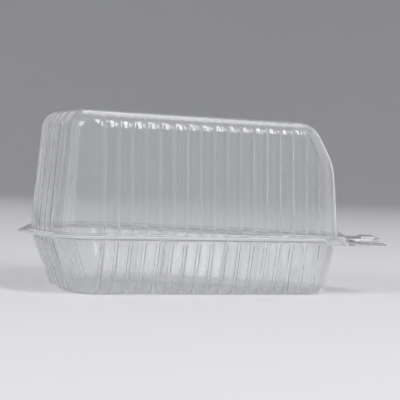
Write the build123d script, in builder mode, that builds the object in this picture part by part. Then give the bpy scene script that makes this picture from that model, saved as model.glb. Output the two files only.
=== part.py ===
"""Clear hinged clamshell for one slice of cake: fluted wedge tray, tall fluted lid, back fold, tip tabs."""
import os
from math import atan2, cos, pi, radians, sin, sqrt, tan

from build123d import *

os.makedirs("parts", exist_ok=True)

# Driving dimensions, millimetres and degrees
sheet = 0.5                  # formed sheet thickness
half_angle = radians(18.0)   # each long side to the middle line
rim_length = 144.0           # back wall to tip wall at the rim
tip_half_width = 20.0        # half the blunt tip, to its sharp corner
back_radius = 85.0           # bow of the back wall
back_corner = 16.0           # plan radius where back and side meet
tip_corner = 12.5            # plan radius where tip and side meet
least_corner = 3.0           # plan corners never get tighter than this

rib_pitch = 6.35
rib_root = 0.25              # how far a rib is let into the sheet
rib_height = 0.9
rib_foot = 1.1               # half width of a rib at its foot
rib_crest = 0.5              # half width of a rib at its crest
first_rib = 10.6             # tip corner to the first rib, along the side
rib_fade = 4.0               # a rib sinks into the wall over this length
rib_margin = 2.0             # least gap from the last rib to a plan corner

tray_depth = 26.0
tray_draft = radians(17.7)
floor_radius = 5.0
tray_tip_rim = 0.8           # the tray's tip wall stands in by this at the rim
tray_tip_lean = -1.4         # and out by this at the floor, so it is steeper than the sides
tray_back_lean = 1.8         # the back wall runs in further at the floor

lid_wall = 47.0              # seat of the lid to the start of its shoulder
lid_draft = radians(5.0)
shoulder_in = 9.0
shoulder_up = 8.1
top_tilt = 1.34              # the top falls towards the tip by this angle
nose_start = 32.0            # the rounded nose leaves the tip wall at this height
nose_at_shoulder = [5.0, 6.8, 7.4, 6.8]   # its set-back from the shoulder's start to the top
short_rib = 42.0             # the rib next to the nose ends at this height

flange = 5.0
hinge_reach = 5.5            # back wall to the fold
hinge_length = 36.0
closing_gap = 0.1            # between the two flanges when shut
bead_inner = 1.1             # the bead round the lid's rim, out from the wall
bead_outer = 4.3
bead_rise = 1.2

tray_tab = 23.6              # tip wall to the end of the tab
lid_tab = 21.9
tab_width = 28.0
tab_corner = 8.0
tab_root = 10.0              # a tab or leaf runs in under the rim by this
pad_length = 8.8
pad_width = 18.0
pad_rise = 1.0
pad_corner = 3.0
pad_place = 14.3             # tip wall to the middle of the thumb pad
lip_run = 2.4                # the end of the lid's tab turns down over this length
lip_drop = 1.2
button_place = 6.3           # tip wall to the middle of the snap button
button_radius = 2.0
button_depth = 1.8
step_place = 8.8             # tip wall to the finger step in the tray's tab
step_run = 2.2
step_drop = 2.5

# Places along the middle line
back_x = hinge_reach - (hinge_reach + rim_length + tray_tab) / 2
tip_x = back_x + rim_length
fold_x = back_x - hinge_reach
seat = tray_depth + closing_gap

across = Vector(sin(half_angle), cos(half_angle))
along = Vector(-cos(half_angle), sin(half_angle))
sharp_tip = Vector(tip_x, tip_half_width)


def mirrored(points):
    """The same points on the other side of the middle line, in reverse order."""
    return [(x, -y) for x, y in reversed(points)]


def corners(inset, nose, back):
    """Points on the tip corner and the back corner, and the middle of the back's bow."""
    tip_r = max(tip_corner - inset, least_corner)
    tip_c_x = tip_x - inset - nose - tip_r
    lean = (inset + tip_r - sin(half_angle) * (tip_x - tip_c_x)) / cos(half_angle)
    tip_c = Vector(tip_c_x, tip_half_width - lean)
    bend = Vector(1, 0) + across
    tip_arc = [tip_c + Vector(tip_r, 0), tip_c + bend.normalized() * tip_r, tip_c + across * tip_r]

    back_r = max(back_corner - inset, least_corner)
    arc_c = Vector(back_x + back + back_radius, 0)
    start = sharp_tip - across * (inset + back_r)
    gap = start - arc_c
    reach = back_radius - inset - back_r
    travel = -gap.dot(along) + sqrt(gap.dot(along) ** 2 - gap.dot(gap) + reach**2)
    back_c = start + along * travel
    out = (back_c - arc_c).normalized()
    bend = across + out
    back_arc = [back_c + across * back_r, back_c + bend.normalized() * back_r, back_c + out * back_r]
    return [(p.X, p.Y) for p in tip_arc], [(p.X, p.Y) for p in back_arc], arc_c


def wedge(z, inset, nose=0.0, back=0.0, tilt=0.0):
    """The wedge outline at one height, moved in from the rim's outline by the inset."""
    tip_arc, back_arc, arc_c = corners(inset, nose, back)
    rear = (arc_c.X - back_radius + inset, 0)
    with BuildSketch(Plane((0, 0, z)).rotated((0, tilt, 0))) as face:
        with BuildLine():
            Line(mirrored(tip_arc)[-1], tip_arc[0])
            ThreePointArc(*tip_arc)
            Line(tip_arc[-1], back_arc[0])
            ThreePointArc(*back_arc)
            ThreePointArc(back_arc[-1], rear, mirrored(back_arc)[0])
            ThreePointArc(*mirrored(back_arc))
            Line(mirrored(back_arc)[-1], mirrored(tip_arc)[0])
            ThreePointArc(*mirrored(tip_arc))
        make_face()
    return face.sketch


def rib(foot, out, slope, length):
    """One straight rib from the rim's outline along a wall, sinking into it at its far end."""
    up = Vector(-out.X * sin(slope), -out.Y * sin(slope), cos(slope))
    along_wall = up * (1 if length > 0 else -1)
    beside = Vector(out.Y, -out.X, 0)
    proud = beside.cross(up)
    sink = Vector(*foot) + along_wall * (abs(length) - rib_fade / 2)
    lean = proud * rib_fade + along_wall * (rib_height + rib_root)
    with BuildPart() as bar:
        with BuildSketch(Plane(foot, x_dir=beside, z_dir=up)):
            with BuildLine():
                Polyline(
                    (-rib_foot, -rib_root),
                    (rib_foot, -rib_root),
                    (rib_crest, rib_height),
                    (-rib_crest, rib_height),
                    close=True,
                )
            make_face()
        extrude(amount=length)
        split(bisect_by=Plane(sink, x_dir=beside, z_dir=lean), keep=Keep.BOTTOM)
    return bar.part


def tray_curve(part, skin):
    """Height and inset on the tray's floor curve, from the floor (0) to the wall (1)."""
    turn = (pi / 2 - tray_draft) * part
    wall_turn = pi / 2 - tray_draft
    wall_start = floor_radius * (1 - cos(wall_turn))
    centre = (tray_depth - wall_start) * tan(tray_draft) + floor_radius * sin(wall_turn)
    radius = floor_radius - skin
    return floor_radius - radius * cos(turn), centre - radius * sin(turn)


def lid_curve(part, skin):
    """Height and inset on the lid's shoulder, from the wall (0) to the top (1)."""
    turn = part * pi / 2
    rise = (shoulder_up - skin) * sin(turn)
    inset = lid_wall * tan(lid_draft) + shoulder_in - (shoulder_in - skin) * cos(turn)
    return seat + lid_wall + rise, inset


def tray_body(skin):
    """Levels of the tray's smooth outer or inner skin."""
    levels = []
    for part in (0.0, 0.5, 1.0):
        z, inset = tray_curve(part, skin)
        levels.append(wedge(z, inset, tray_tip_lean, tray_back_lean))
    above = 1.0 if skin else 0.0
    rim_inset = skin / cos(tray_draft) - above * tan(tray_draft)
    levels.append(wedge(tray_depth + above, rim_inset, tray_tip_rim))
    return levels


def lid_body(skin):
    """Levels of the lid's smooth outer or inner skin."""
    below = 1.0 if skin else 0.0
    levels = [wedge(seat - below, skin - below * tan(lid_draft))]
    levels.append(wedge(seat + nose_start, nose_start * tan(lid_draft) + skin))
    for step, nose in enumerate(nose_at_shoulder):
        part = step / (len(nose_at_shoulder) - 1)
        z, inset = lid_curve(part, skin)
        levels.append(wedge(z, inset, nose, 0.0, top_tilt * sin(part * pi / 2)))
    return levels


def side_feet():
    """Where the ribs of one long side stand at the rim, from the tip to the back corner."""
    _, back_arc, _ = corners(0, 0, 0)
    room = (Vector(*back_arc[0]) - sharp_tip).dot(along) - rib_margin - first_rib
    return [sharp_tip + along * (first_rib + i * rib_pitch) for i in range(int(room / rib_pitch) + 1)]


def back_turns():
    """Directions of the back ribs of one half, seen from the middle of the back's bow."""
    _, back_arc, arc_c = corners(0, 0, 0)
    end = Vector(*back_arc[-1]) - arc_c
    room = back_radius * atan2(end.Y, -end.X) - rib_margin
    return [pi - (i + 0.5) * rib_pitch / back_radius for i in range(int(room / rib_pitch + 0.5))]


def back_lean():
    """Slope of the tray's back wall, which runs in further than the sides."""
    low, inset = tray_curve(1.0, 0)
    return atan2(inset + tray_back_lean, tray_depth - low)


def ribs(z, side_slope, back_slope, length, first_length):
    """The ribs of half a piece, which start at this height in the flange."""
    bars = []
    for i, foot in enumerate(side_feet()):
        bars.append(rib((foot.X, foot.Y, z), across, side_slope, length if i else first_length))
    for turn in back_turns():
        out = Vector(cos(turn), sin(turn))
        foot = Vector(back_x + back_radius, 0) + out * back_radius
        bars.append(rib((foot.X, foot.Y, z), out, back_slope, length))
    return bars


def tab_outline(length):
    """Plan of a tab, its root well inside the flange."""
    with BuildSketch() as face:
        with Locations((tip_x + (length - tab_root) / 2, 0)):
            RectangleRounded(length + tab_root, tab_width, tab_corner)
    return face.sketch


def rim_plate(z):
    """Flat flange with the hinge leaf at the back."""
    with BuildSketch(Plane.XY.offset(z)) as face:
        add(wedge(0, -flange))
        with Locations((fold_x + tab_root / 2, 0)):
            Rectangle(tab_root, hinge_length)
    return face.sketch


def tab(z, length, start, run, drop):
    """The tab at the tip, bent down by the drop over a run that starts this far from the tip wall."""
    bend = tip_x + start
    end = tip_x + length + run
    room = drop + 2 * sheet
    with BuildPart() as tongue:
        with BuildSketch(Plane.XY.offset(z - room)):
            add(tab_outline(length))
        extrude(amount=2 * room)
        with BuildSketch(Plane.XZ):
            with BuildLine():
                top = [(tip_x, z), (bend, z), (bend + run, z - drop), (end, z - drop)]
                Polyline(*top, *[(x, height - sheet) for x, height in reversed(top)], close=True)
            make_face()
        extrude(amount=tab_width, both=True, mode=Mode.INTERSECT)
    return tongue.part


def bead(skin):
    """The raised bead round the lid's rim, or the hollow under it."""
    with BuildPart() as band:
        with BuildSketch(Plane.XY.offset(seat + sheet - skin)):
            add(wedge(0, skin - bead_outer))
            add(wedge(0, -skin - bead_inner), mode=Mode.SUBTRACT)
        extrude(amount=bead_rise)
    return band.part


def button(z, radius, depth):
    """One snap button that reaches down from the given height."""
    with BuildPart() as stud:
        with Locations((tip_x + button_place, 0, z - depth / 2)):
            Cylinder(radius, depth)
    return stud.part


def pad(z, skin):
    """The raised thumb pad on the lid's tab, or the square hollow under it."""
    with BuildPart() as block:
        with BuildSketch(Plane((tip_x + pad_place, 0, z - skin))):
            if skin:
                Rectangle(pad_length - 3 * skin, pad_width - 3 * skin)
            else:
                RectangleRounded(pad_length, pad_width, pad_corner)
        extrude(amount=pad_rise)
    return block.part


tray_rib = (tray_curve(1.0, 0)[0] - tray_depth) / cos(tray_draft)

with BuildPart() as tray:
    loft(tray_body(0.0), ruled=True)
    extrude(rim_plate(tray_depth - sheet), amount=sheet)
    add(tab(tray_depth, tray_tab, step_place, step_run, step_drop))
    add(button(tray_depth - sheet / 2, button_radius, button_depth + sheet / 2))
    loft(tray_body(sheet), ruled=True, mode=Mode.SUBTRACT)
    split(bisect_by=Plane.ZX)
    add(ribs(tray_depth - sheet / 2, -tray_draft, -back_lean(), tray_rib, tray_rib), clean=False)
    mirror(about=Plane.ZX)
tray.part.label = "tray"

with BuildPart() as lid:
    loft(lid_body(0.0), ruled=True)
    extrude(rim_plate(seat), amount=sheet)
    add(tab(seat + sheet, lid_tab, lid_tab - lip_run, lip_run, lip_drop))
    add(bead(0.0))
    add(pad(seat + sheet, 0.0))
    loft(lid_body(sheet), ruled=True, mode=Mode.SUBTRACT)
    add(bead(sheet), mode=Mode.SUBTRACT)
    add(pad(seat + sheet, sheet), mode=Mode.SUBTRACT)
    split(bisect_by=Plane.ZX)
    add(ribs(seat + sheet / 2, lid_draft, lid_draft, lid_wall, short_rib), clean=False)
    mirror(about=Plane.ZX)
lid.part.label = "lid"

export_step(tray.part, "parts/tray.step")
export_step(lid.part, "parts/lid.step")
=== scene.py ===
from collections import namedtuple
from math import cos, pi, radians, sin, tan

import bmesh
import bpy
import numpy as np
from mathutils import Matrix, Vector


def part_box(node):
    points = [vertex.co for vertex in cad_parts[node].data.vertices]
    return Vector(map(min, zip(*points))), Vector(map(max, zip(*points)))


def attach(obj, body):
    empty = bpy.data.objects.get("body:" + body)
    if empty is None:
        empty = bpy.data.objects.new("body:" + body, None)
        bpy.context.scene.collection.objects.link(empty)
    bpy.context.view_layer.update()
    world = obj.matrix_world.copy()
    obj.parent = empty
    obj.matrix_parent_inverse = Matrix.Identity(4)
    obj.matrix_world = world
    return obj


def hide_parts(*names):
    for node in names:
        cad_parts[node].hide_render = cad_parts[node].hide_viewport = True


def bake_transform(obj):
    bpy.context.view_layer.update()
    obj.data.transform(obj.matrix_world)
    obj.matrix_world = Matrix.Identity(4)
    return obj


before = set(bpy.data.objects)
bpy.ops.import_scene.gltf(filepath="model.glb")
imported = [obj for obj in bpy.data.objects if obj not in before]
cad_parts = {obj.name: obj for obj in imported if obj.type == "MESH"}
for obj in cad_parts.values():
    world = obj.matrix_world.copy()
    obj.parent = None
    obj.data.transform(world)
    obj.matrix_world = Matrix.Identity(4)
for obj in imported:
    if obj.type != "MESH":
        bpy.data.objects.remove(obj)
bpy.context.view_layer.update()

# Sizes of the pack are in millimetres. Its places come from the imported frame.
MM = 0.001
tray_low, tray_high = (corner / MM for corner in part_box("tray"))
_, lid_high = (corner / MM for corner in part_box("lid"))

# Sheet, wedge outline, flange and fold
SHEET = 0.5
CLOSING_GAP = 0.1
HALF_ANGLE = radians(18.0)
TIP_HALF_WIDTH = 20.0
BACK_RADIUS = 85.0
BACK_CORNER = 16.0
TIP_CORNER = 12.5
LEAST_CORNER = 3.0
FLANGE = 5.0
HINGE_REACH = 5.5
HINGE_LENGTH = 36.0
LEAF_OVERLAP = 0.1
WEB_SHORT = 0.4

# Ribs: half the width at the foot and the run of each flank differ between the halves
RibForm = namedtuple("RibForm", "half flank")
LID_RIB = RibForm(half=1.7, flank=1.7)
TRAY_RIB = RibForm(half=1.5, flank=0.55)
RIB_PITCH = 6.35
RIB_HEIGHT = 0.9
LAND_BULGE = 0.16
SIDE_RIBS = 17
BACK_RIBS = 16
FIRST_RIB = 10.6
SHORT_RIB, SHORT_RIB_RUN = 42.0, 6.0
LID_RIB_START, LID_RIB_RUN = 0.5, 3.0
TRAY_RIB_TOP, TRAY_RIB_RUN = 1.4, 2.4
LID_RIB_FILL, TRAY_RIB_FILL = 0.0, 0.2

# Tray
TRAY_DEPTH = 26.0
TRAY_DRAFT = radians(17.7)
TRAY_FOOT = 2.2
FLOOR_RADIUS = 5.0
TRAY_TIP_RIM, TRAY_TIP_LEAN, TRAY_BACK_LEAN = 0.8, -1.4, 1.8
TRAY_SKIRT_INNER, TRAY_SKIRT_OUTER = 2.0, 3.6

# Lid
LID_WALL = 47.0
LID_DRAFT = radians(5.0)
LID_FOOT = 0.6
SHOULDER_IN, SHOULDER_UP = 9.0, 8.1
TOP_TILT = radians(1.34)
NOSE_LOW, NOSE_HIGH, NOSE_BACK, NOSE_CURVE = 29.0, 54.0, 7.2, 1.25
BEAD_INNER, BEAD_OUTER, BEAD_RISE = 1.1, 4.3, 1.2

# Tabs, and the flange turned down round the tip
TRAY_TAB = 23.6
TAB_WIDTH = 28.0
TAB_CORNER = 8.0
STEP_PLACE, STEP_RUN, STEP_DROP = 8.8, 2.2, 2.5
BUTTON_PLACE, BUTTON_RADIUS, BUTTON_FLARE, BUTTON_DEPTH = 7.0, 1.6, 0.8, 1.8
BUTTON_ROUND = 0.7
PAD_PLACE, PAD_LENGTH, PAD_WIDTH, PAD_RISE, PAD_EDGE = 14.3, 8.8, 18.0, 1.0, 1.8
LIP_RUN, LIP_DROP, LIP_SHIFT = 2.4, 2.4, 0.9
SKIRT_BACK, SKIRT_RUN = 8.0, 5.0

# Shares of a stretch, from 0 to 1
BEAD_FLANK = 0.38
LID_FOOT_RIB = 0.25
SHOULDER_FADE, SHOULDER_FADE_RUN = 0.12, 0.55
FLOOR_FADE, FLOOR_FADE_RUN = 0.12, 0.6
TAB_FLARE = 0.3

# Where the mesh has its columns and rings, and how many
HALF_RIB_COLUMNS = np.array([0.4, 0.7, 0.95, 1.2, 1.45, 1.7])
RIB_COLUMNS = np.concatenate([-HALF_RIB_COLUMNS[::-1], [0.0], HALF_RIB_COLUMNS])
LAND_COLUMNS = RIB_PITCH * np.array([0.38, 0.5, 0.62])
SMOOTH_COLUMNS = np.linspace(0.0, 1.0, 21)[:-1]
COLUMNS_BEFORE, COLUMNS_AFTER = 5, 6
COLUMN_DIGITS = 4
FREE_RIBS, CORNER_RUN = 2.5, 6.0
LID_LEVELS = (2.4, 4.5, 12.0, 20.0, 28.0, 31.0, 34.0, 36.5, 39.0, 41.0, 43.0, 45.0, LID_WALL)
TRAY_LEVELS = (23.0, 22.0, 20.5, 17.0, 12.0, 7.0)
TOP_RINGS = (1.0, 2.6)
FLOOR_RING = 1.5
LID_FLANGE_RINGS, BEAD_RINGS, LID_FOOT_RINGS, SHOULDER_RINGS = 7, 12, 5, 14
TRAY_FLANGE_RINGS, TRAY_FOOT_RINGS, FLOOR_RINGS = 13, 7, 11
TAB_RINGS, LEAF_RINGS = 46, 6
WEB_SLICES, WEB_TURNS = 25, 13

# Places that follow from the sizes and the frame
FOLD_X = tray_low.x
BACK_X = FOLD_X + HINGE_REACH
TIP_X = tray_high.x - TRAY_TAB
LID_TAB = lid_high.x - TIP_X
SEAT = TRAY_DEPTH + CLOSING_GAP
FOLD_Z = (TRAY_DEPTH + SEAT) / 2
FOLD_RADIUS = SHEET + CLOSING_GAP / 2
LEAF_END = FOLD_X + FOLD_RADIUS - LEAF_OVERLAP

ACROSS = np.array([sin(HALF_ANGLE), cos(HALF_ANGLE)])
ALONG = np.array([-cos(HALF_ANGLE), sin(HALF_ANGLE)])
SHARP_TIP = np.array([TIP_X, TIP_HALF_WIDTH])


def smooth(x):
    """0 below 0, 1 above 1, with a soft start and end."""
    x = np.clip(x, 0.0, 1.0)
    return x * x * (3.0 - 2.0 * x)


def spread(angle):
    """Unit vectors in plan at these angles."""
    return np.stack([np.cos(angle), np.sin(angle)], axis=-1)


class Plan:
    """The wedge outline at one inset, with its corners and the middle of the back's bow."""

    def __init__(self, inset, nose=0.0, back=0.0):
        self.inset = inset
        self.tip_r = max(TIP_CORNER - inset, LEAST_CORNER)
        tip_c_x = TIP_X - inset - nose - self.tip_r
        lean = (inset + self.tip_r - sin(HALF_ANGLE) * (TIP_X - tip_c_x)) / cos(HALF_ANGLE)
        self.tip_c = np.array([tip_c_x, TIP_HALF_WIDTH - lean])
        self.back_r = max(BACK_CORNER - inset, LEAST_CORNER)
        self.arc_c = np.array([BACK_X + back + BACK_RADIUS, 0.0])
        start = SHARP_TIP - ACROSS * (inset + self.back_r)
        gap = start - self.arc_c
        reach = BACK_RADIUS - inset - self.back_r
        step = gap @ ALONG
        self.back_c = start + ALONG * (-step + np.sqrt(step**2 - gap @ gap + reach**2))
        self.side_turn = pi / 2 - HALF_ANGLE
        out = self.back_c - self.arc_c
        self.back_turn = np.arctan2(out[1], out[0])
        self.half_back = BACK_RADIUS * (pi - self.back_turn)
        self.side_start = (self.tip_c + ACROSS * self.tip_r - SHARP_TIP) @ ALONG
        self.side_end = (self.back_c + ACROSS * self.back_r - SHARP_TIP) @ ALONG


def rib_stations(first, count, low, high):
    """Column places along a fluted stretch: close together on each rib, wide on the lands."""
    middle = first + np.arange(count) * RIB_PITCH
    on_ribs = (middle[:, None] + RIB_COLUMNS).ravel()
    on_lands = (middle[:-1, None] + LAND_COLUMNS).ravel()
    before = np.linspace(low, on_ribs.min(), COLUMNS_BEFORE)[:-1]
    after = np.linspace(on_ribs.max(), high, COLUMNS_AFTER)[1:]
    places = np.concatenate([on_ribs, on_lands, before, after])
    places = np.unique(np.round(places, COLUMN_DIGITS))
    return places[(places >= low) & (places <= high)]


# Columns of the outline at the rim. Each wall's ribs stay in place between its free points.
RIM = Plan(0.0)
SIDE_COLUMNS = rib_stations(FIRST_RIB, SIDE_RIBS, RIM.side_start, RIM.side_end)
BACK_COLUMNS = rib_stations(RIB_PITCH / 2, BACK_RIBS // 2, 0.0, RIM.half_back)[::-1]
FREE_FROM_TIP = FIRST_RIB + FREE_RIBS * RIB_PITCH
FREE_FROM_CORNER = RIM.side_end - CORNER_RUN
FREE_BACK = RIB_PITCH * (BACK_RIBS // 2 - 1)

Outline = namedtuple("Outline", "points normals wave bulge tip_rib")


def stretch(place, old_end, new_end, free):
    """Places move with a shifting end, and stay where they are beyond the free point."""
    moved = new_end + (place - old_end) * (free - new_end) / (free - old_end)
    near_end = place < free if old_end < free else place > free
    return np.where(near_end, moved, place)


def flutes(place, first, count, rib, land_before=0.0):
    """Rib wave (0 to 1), land bulge (0 to 1) and number of the nearest rib along a wall."""
    step = (place - first) / RIB_PITCH
    nearest = np.clip(np.round(step), 0, count - 1)
    off = np.abs(step - nearest) * RIB_PITCH
    wave = 0.5 - 0.5 * np.cos(pi * np.clip((rib.half - off) / rib.flank, 0.0, 1.0))
    land = np.clip((off - rib.half) / (RIB_PITCH / 2 - rib.half), 0.0, 1.0)
    between_ribs = (step > -land_before) & (step < count - 1)
    bulge = np.where(between_ribs, 1.0 - (1.0 - land) ** 2, 0.0)
    return wave, bulge, nearest


def half_outline(plan, rib):
    """Half of the outline, from the middle of the tip to the middle of the back."""
    tip_x = plan.tip_c[0] + plan.tip_r
    flat = np.stack([np.full_like(SMOOTH_COLUMNS, tip_x), SMOOTH_COLUMNS * plan.tip_c[1]], axis=-1)
    flat_n = np.tile([1.0, 0.0], (len(flat), 1))

    tip_n = spread(SMOOTH_COLUMNS * plan.side_turn)
    tip = plan.tip_c + tip_n * plan.tip_r

    along = stretch(SIDE_COLUMNS, RIM.side_start, plan.side_start, FREE_FROM_TIP)
    along = stretch(along, RIM.side_end, plan.side_end, FREE_FROM_CORNER)
    side = SHARP_TIP + along[:, None] * ALONG - plan.inset * ACROSS
    side_n = np.tile(ACROSS, (len(side), 1))
    side_wave, side_bulge, side_rib = flutes(along, FIRST_RIB, SIDE_RIBS, rib)

    corner_n = spread(plan.side_turn + SMOOTH_COLUMNS[1:] * (plan.back_turn - plan.side_turn))
    corner = plan.back_c + corner_n * plan.back_r

    around = stretch(BACK_COLUMNS, RIM.half_back, plan.half_back, FREE_BACK)
    back_n = spread(pi - around / BACK_RADIUS)
    back = plan.arc_c + back_n * (BACK_RADIUS - plan.inset)
    back_wave, back_bulge, _ = flutes(around, RIB_PITCH / 2, BACK_RIBS // 2, rib, land_before=0.5)

    plain_tip = np.zeros(len(flat) + len(tip))
    plain_corner = np.zeros(len(corner))
    return Outline(
        points=np.concatenate([flat, tip, side, corner, back]),
        normals=np.concatenate([flat_n, tip_n, side_n, corner_n, back_n]),
        wave=np.concatenate([plain_tip, side_wave, plain_corner, back_wave]),
        bulge=np.concatenate([plain_tip, side_bulge, plain_corner, back_bulge]),
        tip_rib=np.concatenate([plain_tip, side_rib == 0, plain_corner, np.zeros(len(back))]),
    )


def outline(plan, rib):
    """The whole outline: the half and its mirror image."""
    half = half_outline(plan, rib)
    inner = slice(len(half.points) - 2, 0, -1)
    flip = np.array([1.0, -1.0])
    mirrored = [part[inner] * flip if part.ndim == 2 else part[inner] for part in half]
    return Outline(*(np.concatenate(pair) for pair in zip(half, mirrored)))


def row(plan, z, rise=0.0, turn=0.0, tilt=0.0, tip_rise=None, rib=LID_RIB):
    """One ring of vertices at height z, pushed out by its ribs. The last column is that push."""
    form = outline(plan, rib)
    lift = rise * (RIB_HEIGHT * form.wave + LAND_BULGE * form.bulge)
    if tip_rise is not None:
        lift = np.where(form.tip_rib > 0, tip_rise * RIB_HEIGHT * form.wave, lift)
    place = form.points + form.normals * (lift * cos(turn))[:, None]
    height = z + lift * sin(turn) - place[:, 0] * tan(tilt)
    return np.column_stack([place, height, lift])


def tab_lip(y, shift=0.0):
    """Share of the turned-down lip across the tab: none in the middle, full at its sides."""
    return smooth(1.0 - (TAB_WIDTH / 2 - np.abs(y) - shift) / LIP_RUN)


def skirted(ring, drop, shift=0.0):
    """A ring of the flange, turned down round the tip on both sides of the tab."""
    round_tip = smooth((ring[:, 0] - (TIP_X - SKIRT_BACK)) / SKIRT_RUN)
    ring[:, 2] -= drop * round_tip * tab_lip(ring[:, 1], shift)
    return ring


def lid_rim_rows():
    """Rings from the edge of the lid's flange, over its bead, to the foot of the wall."""
    z = SEAT + SHEET
    rows = []
    for s in np.linspace(1.0, 0.0, LID_FLANGE_RINGS)[:-1]:
        ring = row(Plan(-BEAD_OUTER - (FLANGE - BEAD_OUTER) * s), z)
        rows.append(skirted(ring, LIP_DROP * smooth(s)))
    for s in np.linspace(0.0, 1.0, BEAD_RINGS):
        rise = BEAD_RISE * smooth(min(s, 1.0 - s) / BEAD_FLANK)
        rows.append(row(Plan(-BEAD_OUTER - (BEAD_INNER - BEAD_OUTER) * s), z + rise))
    for s in np.linspace(0.0, 1.0, LID_FOOT_RINGS)[1:]:
        turn = s * pi / 2
        foot = Plan(-LID_FOOT * (1.0 - sin(turn)))
        rows.append(row(foot, z + LID_FOOT * (1.0 - cos(turn)), LID_FOOT_RIB * s))
    return rows


def nose(height):
    """How far the rounded nose is set back at this height of the lid."""
    return NOSE_BACK * smooth((height - NOSE_LOW) / (NOSE_HIGH - NOSE_LOW)) ** NOSE_CURVE


def lid_rows():
    """Rings of the lid's outer skin, from the flange to the top."""
    slope = tan(LID_DRAFT)
    rows = lid_rim_rows()
    for h in LID_LEVELS:
        rise = smooth((h - LID_RIB_START) / LID_RIB_RUN)
        tip_rise = min(rise, smooth((SHORT_RIB - h) / SHORT_RIB_RUN))
        rows.append(row(Plan(h * slope, nose(h)), SEAT + h, rise, tip_rise=tip_rise))
    for part in np.linspace(0.0, 1.0, SHOULDER_RINGS)[1:]:
        turn = part * pi / 2
        h = LID_WALL + SHOULDER_UP * sin(turn)
        plan = Plan(LID_WALL * slope + SHOULDER_IN * (1.0 - cos(turn)), nose(h))
        rise = 1.0 - smooth((part - SHOULDER_FADE) / SHOULDER_FADE_RUN)
        rows.append(row(plan, SEAT + h, rise, turn, TOP_TILT * sin(turn), tip_rise=0.0))
    for inset in TOP_RINGS:
        plan = Plan(LID_WALL * slope + SHOULDER_IN + inset, NOSE_BACK)
        rows.append(row(plan, SEAT + LID_WALL + SHOULDER_UP, tilt=TOP_TILT))
    return rows


def tray_rib_rise(z):
    """How far the tray's ribs have grown at this height: they start in the fillet under the flange."""
    return smooth((TRAY_DEPTH - TRAY_RIB_TOP - z) / TRAY_RIB_RUN)


def tray_rim_rows():
    """Rings from the edge of the tray's flange round the fillet under it to the wall."""
    z = TRAY_DEPTH - SHEET
    wall_z = z - TRAY_FOOT * (1.0 - sin(TRAY_DRAFT))
    middle = TRAY_FOOT * cos(TRAY_DRAFT) - (TRAY_DEPTH - wall_z) * tan(TRAY_DRAFT)
    rows = []
    for outset in np.linspace(FLANGE, middle, TRAY_FLANGE_RINGS):
        share = smooth((outset - TRAY_SKIRT_INNER) / (TRAY_SKIRT_OUTER - TRAY_SKIRT_INNER))
        rows.append(skirted(row(Plan(-outset), z), STEP_DROP * share, LIP_SHIFT))
    for turn in np.linspace(pi / 2, pi - TRAY_DRAFT, TRAY_FOOT_RINGS)[1:]:
        low = z - TRAY_FOOT * (1.0 - sin(turn))
        foot = Plan(-middle - TRAY_FOOT * cos(turn))
        rows.append(row(foot, low, tray_rib_rise(low), rib=TRAY_RIB))
    return rows


def tray_rows():
    """Rings of the tray's outer skin, from the flange down to the floor."""
    rows = tray_rim_rows()
    turn_wall = pi / 2 - TRAY_DRAFT
    wall_end = FLOOR_RADIUS * (1.0 - cos(turn_wall))
    slope = tan(TRAY_DRAFT)
    for z in (*TRAY_LEVELS, wall_end):
        down = (TRAY_DEPTH - z) / (TRAY_DEPTH - wall_end)
        tip = TRAY_TIP_RIM + (TRAY_TIP_LEAN - TRAY_TIP_RIM) * down
        plan = Plan((TRAY_DEPTH - z) * slope, tip, TRAY_BACK_LEAN * down)
        rows.append(row(plan, z, tray_rib_rise(z), rib=TRAY_RIB))
    centre = (TRAY_DEPTH - wall_end) * slope + FLOOR_RADIUS * sin(turn_wall)
    for part in np.linspace(1.0, 0.0, FLOOR_RINGS)[1:]:
        turn = turn_wall * part
        z = FLOOR_RADIUS * (1.0 - cos(turn))
        plan = Plan(centre - FLOOR_RADIUS * sin(turn), TRAY_TIP_LEAN, TRAY_BACK_LEAN)
        rows.append(row(plan, z, smooth((part - FLOOR_FADE) / FLOOR_FADE_RUN), rib=TRAY_RIB))
    rows.append(row(Plan(centre + FLOOR_RING, TRAY_TIP_LEAN, TRAY_BACK_LEAN), 0.0))
    return rows


def tab_depth(x, y, length):
    """How far these points lie inside the tab's round-cornered outline."""
    past_end = x - (TIP_X + length - TAB_CORNER)
    past_side = np.abs(y) - (TAB_WIDTH / 2 - TAB_CORNER)
    outside = np.hypot(np.maximum(past_end, 0.0), np.maximum(past_side, 0.0))
    return TAB_CORNER - outside - np.minimum(np.maximum(past_end, past_side), 0.0)


def tab_height(x, y, is_lid):
    """Height of the tab's snap button, pad, step and turned-down sides above the flange."""
    from_button = np.hypot(x - (TIP_X + BUTTON_PLACE), y) - BUTTON_RADIUS
    lift = -BUTTON_DEPTH * (1.0 - smooth((from_button + BUTTON_ROUND) / (BUTTON_FLARE + BUTTON_ROUND)))
    if is_lid:
        past_pad_end = np.abs(x - (TIP_X + PAD_PLACE)) - PAD_LENGTH / 2
        past_pad = np.maximum(past_pad_end, np.abs(y) - PAD_WIDTH / 2)
        lip = smooth(1.0 - tab_depth(x, y, LID_TAB) / LIP_RUN)
        return lift + PAD_RISE * smooth(-past_pad / PAD_EDGE) - LIP_DROP * lip
    step = smooth((x - (TIP_X + STEP_PLACE)) / STEP_RUN)
    return lift - STEP_DROP * np.maximum(step, tab_lip(y, LIP_SHIFT))


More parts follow.
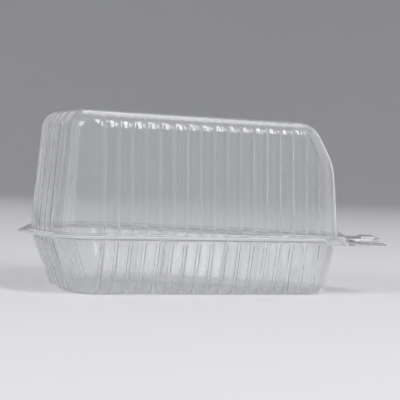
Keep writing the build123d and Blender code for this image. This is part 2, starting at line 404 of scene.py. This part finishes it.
def tab_rows(edge, length, is_lid):
    """Rings of the tab, from the flange's edge out to its round-cornered end."""
    half = np.abs(edge[:, 1]).max()
    flat = edge[:, 2].max()
    end = TIP_X + length
    rows = []
    for s in np.linspace(0.0, 1.0, TAB_RINGS)[1:]:
        x = edge[:, 0] + (end - edge[:, 0]) * s
        into_corner = np.clip(x - (end - TAB_CORNER), 0.0, TAB_CORNER)
        wide = TAB_WIDTH / 2 - TAB_CORNER + np.sqrt(TAB_CORNER**2 - into_corner**2)
        y = edge[:, 1] / half * (half + (wide - half) * smooth(s / TAB_FLARE))
        rows.append(np.column_stack([x, y, flat + tab_height(x, y, is_lid)]))
    return rows


def leaf_rows(edge):
    """Rings of the hinge leaf, from the flange's edge back to the fold."""
    return [
        np.column_stack([edge[:, 0] + (LEAF_END - edge[:, 0]) * s, edge[:, 1], edge[:, 2]])
        for s in np.linspace(0.0, 1.0, LEAF_RINGS)[1:]
    ]


def edge_run(edge, half_width, at_tip):
    """Numbers of the edge's points within this width at the tip or the back, in order across."""
    run = np.flatnonzero((np.abs(edge[:, 1]) <= half_width) & ((edge[:, 0] > 0) == at_tip))
    return run[np.argsort(edge[run, 1])]


def add_rings(mesh, rings, flip):
    """Quads between each closed ring of vertices and the next."""
    for low, high in zip(rings, rings[1:]):
        for i in range(len(low)):
            j = (i + 1) % len(low)
            quad = [low[i], low[j], high[j], high[i]]
            mesh.faces.new(quad[::-1] if flip else quad)


def add_strip(mesh, first, rows, flip):
    """Joins a patch of rows to a run of vertices that is already in the mesh."""
    previous = first
    for points in rows:
        current = [mesh.verts.new(point * MM) for point in points]
        for i in range(len(points) - 1):
            quad = [previous[i], previous[i + 1], current[i + 1], current[i]]
            mesh.faces.new(quad[::-1] if flip else quad)
        previous = current


def new_object(name, mesh):
    """Turns a bmesh into a smooth-shaded object in the scene."""
    data = bpy.data.meshes.new(name)
    mesh.to_mesh(data)
    mesh.free()
    data.polygons.foreach_set("use_smooth", [True] * len(data.polygons))
    obj = bpy.data.objects.new(name, data)
    bpy.context.scene.collection.objects.link(obj)
    return obj


def thicken(obj, lifts, rib_fill):
    """Gives a skin the sheet's thickness, and a share of each rib's height on top of it."""
    most = SHEET + rib_fill * RIB_HEIGHT
    weights = np.full(len(obj.data.vertices), SHEET / most)
    weights[: len(lifts)] += rib_fill * lifts / most
    group = obj.vertex_groups.new(name="wall")
    for index, weight in enumerate(weights):
        group.add([index], float(weight), "REPLACE")
    wall = obj.modifiers.new("sheet", "SOLIDIFY")
    wall.thickness = most * MM
    wall.vertex_group = group.name
    wall.offset = -1.0
    wall.material_offset_rim = 1


def formed_sheet(name, rows, tab_length, is_lid, rib_fill):
    """One half of the pack as a formed sheet: walls, flange, tab and hinge leaf."""
    mesh = bmesh.new()
    rings = [[mesh.verts.new(point[:3] * MM) for point in points] for points in rows]
    flip = not is_lid
    add_rings(mesh, rings, flip)
    mesh.faces.new(rings[-1][::-1] if flip else rings[-1])
    edge = rows[0]
    tip = edge_run(edge, TAB_WIDTH / 2, at_tip=True)
    add_strip(mesh, [rings[0][i] for i in tip], tab_rows(edge[tip], tab_length, is_lid), not flip)
    back = edge_run(edge, HINGE_LENGTH / 2, at_tip=False)
    add_strip(mesh, [rings[0][i] for i in back], leaf_rows(edge[back]), flip)
    obj = new_object(name, mesh)
    thicken(obj, np.concatenate([points[:, 3] for points in rows]), rib_fill)
    return obj


def fold_web():
    """The thin bent web of sheet that joins the two hinge leaves."""
    turns = np.linspace(pi / 2, 3 * pi / 2, WEB_TURNS)
    section = [(FOLD_RADIUS, turn) for turn in turns]
    section += [(FOLD_RADIUS - SHEET, turn) for turn in turns[::-1]]
    centre_x = FOLD_X + FOLD_RADIUS
    half = HINGE_LENGTH / 2 - WEB_SHORT
    mesh = bmesh.new()
    slices = []
    for y in np.linspace(-half, half, WEB_SLICES):
        ring = [Vector((centre_x + r * cos(turn), y, FOLD_Z + r * sin(turn))) for r, turn in section]
        slices.append([mesh.verts.new(point * MM) for point in ring])
    add_rings(mesh, slices, flip=False)
    mesh.faces.new(slices[0][::-1])
    mesh.faces.new(slices[-1])
    bmesh.ops.recalc_face_normals(mesh, faces=mesh.faces)
    return new_object("fold_web", mesh)


# The sheet's plastic. The noise scales are per metre and the ripples' depth is in metres.
SHEET_COLOUR = (0.965, 0.97, 0.98, 1.0)
SHEET_IOR = 1.5
HAZE_SCALE, HAZE_DETAIL = 60.0, 6.0
HAZE_LOW, HAZE_HIGH = 0.35, 0.75
RIPPLE_SCALE, RIPPLE_DETAIL = 45.0, 2.0
RIPPLE_STRENGTH, RIPPLE_DEPTH = 0.05, 0.0005


def sheet_plastic(name, clearness, least_rough, most_rough):
    """Formed sheet, faintly blue-grey, with soft forming ripples and fine handling haze."""
    material = bpy.data.materials.new(name)
    material.use_nodes = True
    nodes, links = material.node_tree.nodes, material.node_tree.links
    shader = nodes["Principled BSDF"]
    shader.inputs["Base Color"].default_value = SHEET_COLOUR
    shader.inputs["Transmission Weight"].default_value = clearness
    shader.inputs["IOR"].default_value = SHEET_IOR
    place = nodes.new("ShaderNodeTexCoord")
    haze = nodes.new("ShaderNodeTexNoise")
    haze.inputs["Scale"].default_value = HAZE_SCALE
    haze.inputs["Detail"].default_value = HAZE_DETAIL
    roughness = nodes.new("ShaderNodeMapRange")
    roughness.inputs["From Min"].default_value = HAZE_LOW
    roughness.inputs["From Max"].default_value = HAZE_HIGH
    roughness.inputs["To Min"].default_value = least_rough
    roughness.inputs["To Max"].default_value = most_rough
    ripple = nodes.new("ShaderNodeTexNoise")
    ripple.inputs["Scale"].default_value = RIPPLE_SCALE
    ripple.inputs["Detail"].default_value = RIPPLE_DETAIL
    bump = nodes.new("ShaderNodeBump")
    bump.inputs["Strength"].default_value = RIPPLE_STRENGTH
    bump.inputs["Distance"].default_value = RIPPLE_DEPTH
    links.new(place.outputs["Object"], haze.inputs["Vector"])
    links.new(place.outputs["Object"], ripple.inputs["Vector"])
    links.new(haze.outputs["Fac"], roughness.inputs["Value"])
    links.new(roughness.outputs["Result"], shader.inputs["Roughness"])
    links.new(ripple.outputs["Fac"], bump.inputs["Height"])
    links.new(bump.outputs["Normal"], shader.inputs["Normal"])
    return material


sheet_material = sheet_plastic("clear_sheet", clearness=0.89, least_rough=0.004, most_rough=0.03)
edge_material = sheet_plastic("cut_edge", clearness=0.35, least_rough=0.35, most_rough=0.6)

# The pieces. The cut edge is the second material of each half, which its rim takes.
tray = formed_sheet("tray_sheet", tray_rows(), TRAY_TAB, False, TRAY_RIB_FILL)
lid = formed_sheet("lid_sheet", lid_rows(), LID_TAB, True, LID_RIB_FILL)
web = fold_web()
for piece in (tray, lid, web):
    piece.data.materials.append(sheet_material)
for half_pack in (tray, lid):
    half_pack.data.materials.append(edge_material)
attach(tray, "tray")
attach(lid, "lid")
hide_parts("tray")
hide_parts("lid")
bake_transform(web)

# The studio, in metres. Its floor lies a little below the tray, so that light gets under the sheet.
FLOOR_GAP = 0.0003
FLOOR_RADII = (0.4, 0.9, 1.5)
SWEEP_BEND, SWEEP_WALL = 0.9, 1.2
SWEEP_RINGS, SWEEP_STEPS = 17, 96
PAPER_COLOUR = (0.74, 0.74, 0.75, 1.0)
PAPER_ROUGHNESS, PAPER_SPECULAR = 0.9, 0.1
LAMP_AIM = Vector((0.0, 0.0, 0.04))
SKY_COLOUR, SKY_STRENGTH = (0.95, 0.97, 1.0, 1.0), 0.25


def studio():
    """A pale round sweep: flat floor that curves up into a wall all round, open at the top."""
    flat = FLOOR_RADII[-1]
    profile = [(radius, 0.0) for radius in FLOOR_RADII]
    for turn in np.linspace(0, pi / 2, SWEEP_RINGS)[1:]:
        profile.append((flat + SWEEP_BEND * sin(turn), SWEEP_BEND * (1 - cos(turn))))
    profile.append((flat + SWEEP_BEND, SWEEP_BEND + SWEEP_WALL))
    around = np.linspace(0, 2 * pi, SWEEP_STEPS, endpoint=False)
    mesh = bmesh.new()
    rings = [[mesh.verts.new((r * cos(t), r * sin(t), z)) for t in around] for r, z in profile]
    mesh.faces.new(rings[0])
    add_rings(mesh, rings, flip=True)
    obj = new_object("studio_sweep", mesh)
    material = bpy.data.materials.new("studio_paper")
    material.use_nodes = True
    shader = material.node_tree.nodes["Principled BSDF"]
    shader.inputs["Base Color"].default_value = PAPER_COLOUR
    shader.inputs["Roughness"].default_value = PAPER_ROUGHNESS
    shader.inputs["Specular IOR Level"].default_value = PAPER_SPECULAR
    obj.data.materials.append(material)
    obj.location.z = -FLOOR_GAP


def softbox(name, place, size, power, shadow=True):
    """A soft area lamp that faces the pack."""
    lamp = bpy.data.lights.new(name, "AREA")
    lamp.shape = "RECTANGLE"
    lamp.size, lamp.size_y = size
    lamp.energy = power
    lamp.use_shadow = shadow
    obj = bpy.data.objects.new(name, lamp)
    bpy.context.scene.collection.objects.link(obj)
    obj.location = place
    obj.rotation_euler = (LAMP_AIM - Vector(place)).to_track_quat("-Z", "Y").to_euler()


def sky():
    """A dim, even, faintly blue light from all round."""
    world = bpy.data.worlds.new("studio_world")
    bpy.context.scene.world = world
    world.use_nodes = True
    background = world.node_tree.nodes["Background"]
    background.inputs["Color"].default_value = SKY_COLOUR
    background.inputs["Strength"].default_value = SKY_STRENGTH


# The top lamp casts no shadow: it stands for the light that real clear sheet lets through.
studio()
softbox("key_right", place=(0.526, -0.649, 0.693), size=(0.26, 0.80), power=5.0)
softbox("front_left", place=(-0.60, -0.72, 0.60), size=(0.45, 0.40), power=2.6)
softbox("panel_left", place=(-1.00, -0.50, 0.45), size=(1.00, 0.90), power=1.9)
softbox("panel_right", place=(1.10, -0.15, 0.45), size=(1.00, 0.90), power=1.9)
softbox("back_left", place=(-0.90, 0.90, 0.45), size=(0.80, 0.90), power=1.3)
softbox("back_right", place=(0.90, 0.90, 0.45), size=(0.80, 0.90), power=1.3)
softbox("top", place=(0.05, 0.45, 1.20), size=(1.00, 0.80), power=4.4, shadow=False)
sky()

# Camera fitted to the photograph: focal length in pixels of its 400-pixel frame, place and turns.
FOCAL_PX, FRAME_PX, SENSOR = 1500.0, 400.0, 36.0
FROM_BACK, AWAY, ABOVE_TRAY = 85.75, 712.5, 36.6
CAMERA_PLACE = Vector((BACK_X + FROM_BACK, -AWAY, TRAY_DEPTH + ABOVE_TRAY))
YAW, PITCH, ROLL = radians(0.556), radians(1.655), radians(1.695)
NEAREST_SEEN = 0.01
lens = bpy.data.cameras.new("camera")
lens.sensor_width = SENSOR
lens.lens = FOCAL_PX / FRAME_PX * SENSOR
lens.clip_start = NEAREST_SEEN
camera = bpy.data.objects.new("camera", lens)
bpy.context.scene.collection.objects.link(camera)
aimed = Matrix.Rotation(YAW, 4, "Z") @ Matrix.Rotation(pi / 2 - PITCH, 4, "X")
rolled = aimed @ Matrix.Rotation(ROLL, 4, "Z")
camera.matrix_world = Matrix.Translation(CAMERA_PLACE * MM) @ rolled
bpy.context.scene.camera = camera
bpy.context.scene.view_settings.view_transform = "Standard"

bpy.context.view_layer.update()
